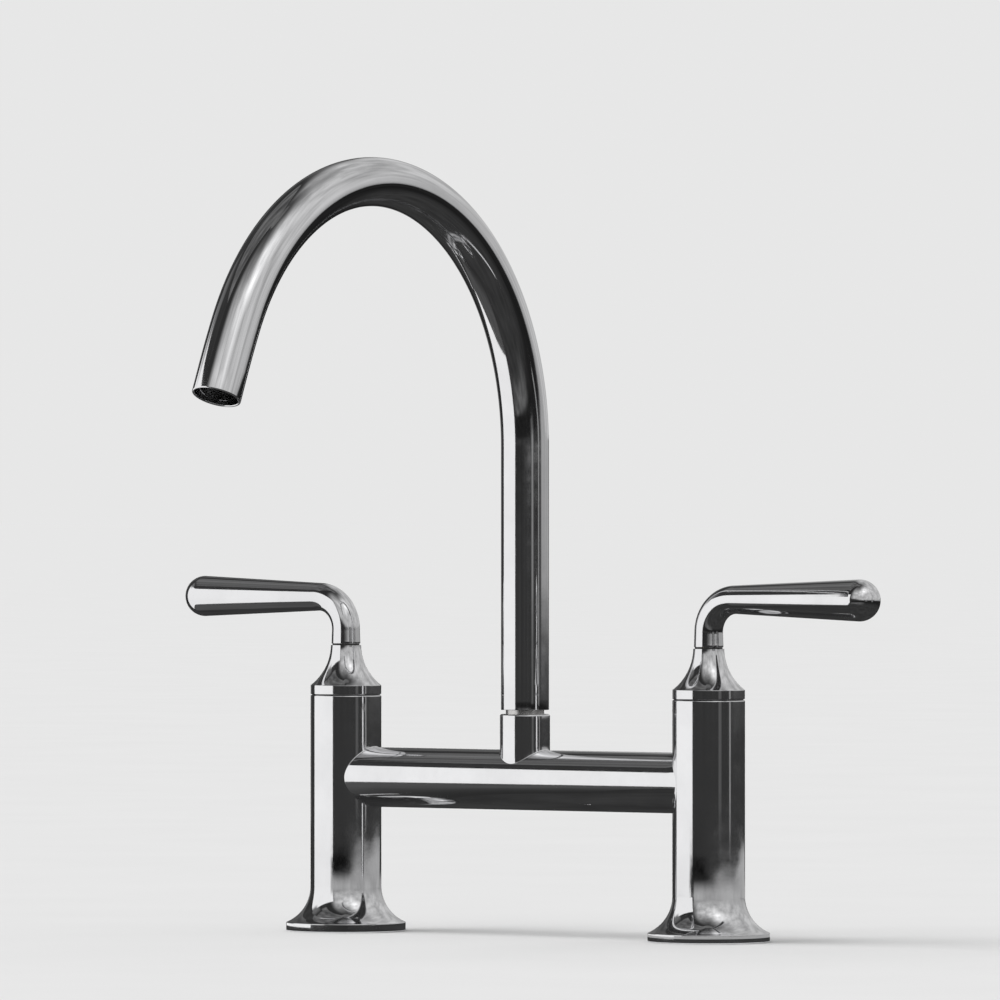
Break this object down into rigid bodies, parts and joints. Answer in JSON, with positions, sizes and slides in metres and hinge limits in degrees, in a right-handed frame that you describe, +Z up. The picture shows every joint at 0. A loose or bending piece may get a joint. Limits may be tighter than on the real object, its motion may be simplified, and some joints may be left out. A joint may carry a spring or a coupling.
{
  "type": "bridge kitchen faucet",
  "caption": "Deck-mounted bridge kitchen faucet: flanged columns, a bridge tube, lever handles on bell caps and a swivelling gooseneck spout.",
  "frame": {"origin": "On the deck plane, midway between the axes of the two columns, which is also the spout's swivel axis.", "axes": "+Z up; +X along the bridge to the right-hand column as seen by the user; -Y towards the user, the way the spout reaches."},
  "size_m": [0.3852, 0.2781, 0.356],
  "materials": {
    "chrome": "polished chrome plating on brass",
    "plated_brass": "satin nickel plating on turned brass",
    "brass": "bare turned brass",
    "steel": "stainless steel",
    "rubber": "black moulded rubber",
    "ceramic": "lapped white alumina ceramic",
    "dark_plastic": "moulded black acetal",
    "plastic": "moulded acetal"
  },
  "bodies": {
    "bridge_body": {"left_column": "chrome", "left_bell_cap": "chrome", "left_cap_seal": "rubber", "left_dust_seal": "rubber", "left_deck_gasket": "rubber", "left_valve_base_seal": "rubber", "left_fixed_disc": "ceramic", "left_valve_body": "brass", "right_column": "chrome", "right_bell_cap": "chrome", "right_cap_seal": "rubber", "right_dust_seal": "rubber", "right_deck_gasket": "rubber", "right_valve_base_seal": "rubber", "right_fixed_disc": "ceramic", "right_valve_body": "brass", "bridge_tube": "chrome", "spout_collar": "chrome", "swivel_washer": "plastic", "collar_screw": "steel"},
    "spout": {"spout_tube": "chrome", "spout_spigot": "plated_brass", "upper_spout_o_ring": "rubber", "lower_spout_o_ring": "rubber", "aerator_housing": "dark_plastic", "aerator_insert": "dark_plastic", "aerator_seal": "rubber"},
    "left_handle": {"left_lever": "chrome", "left_lever_screw": "steel", "left_spindle": "brass", "left_spindle_o_ring": "rubber", "left_spindle_clip": "steel", "left_moving_disc": "ceramic"},
    "right_handle": {"right_lever": "chrome", "right_lever_screw": "steel", "right_spindle": "brass", "right_spindle_o_ring": "rubber", "right_spindle_clip": "steel", "right_moving_disc": "ceramic"}
  },
  "joints": [
    {"name": "spout_swivel", "type": "hinge", "parent": "bridge_body", "child": "spout", "pos_m": [0, 0, 0.1], "axis": [0, 0, 1], "continuous": true},
    {"name": "left_lever_turn", "type": "hinge", "parent": "bridge_body", "child": "left_handle", "pos_m": [-0.1016, 0, 0.134], "axis": [0, 0, 1], "range_deg": [0, 90]},
    {"name": "right_lever_turn", "type": "hinge", "parent": "bridge_body", "child": "right_handle", "pos_m": [0.1016, 0, 0.134], "axis": [0, 0, 1], "range_deg": [-90, 0]}
  ]
}
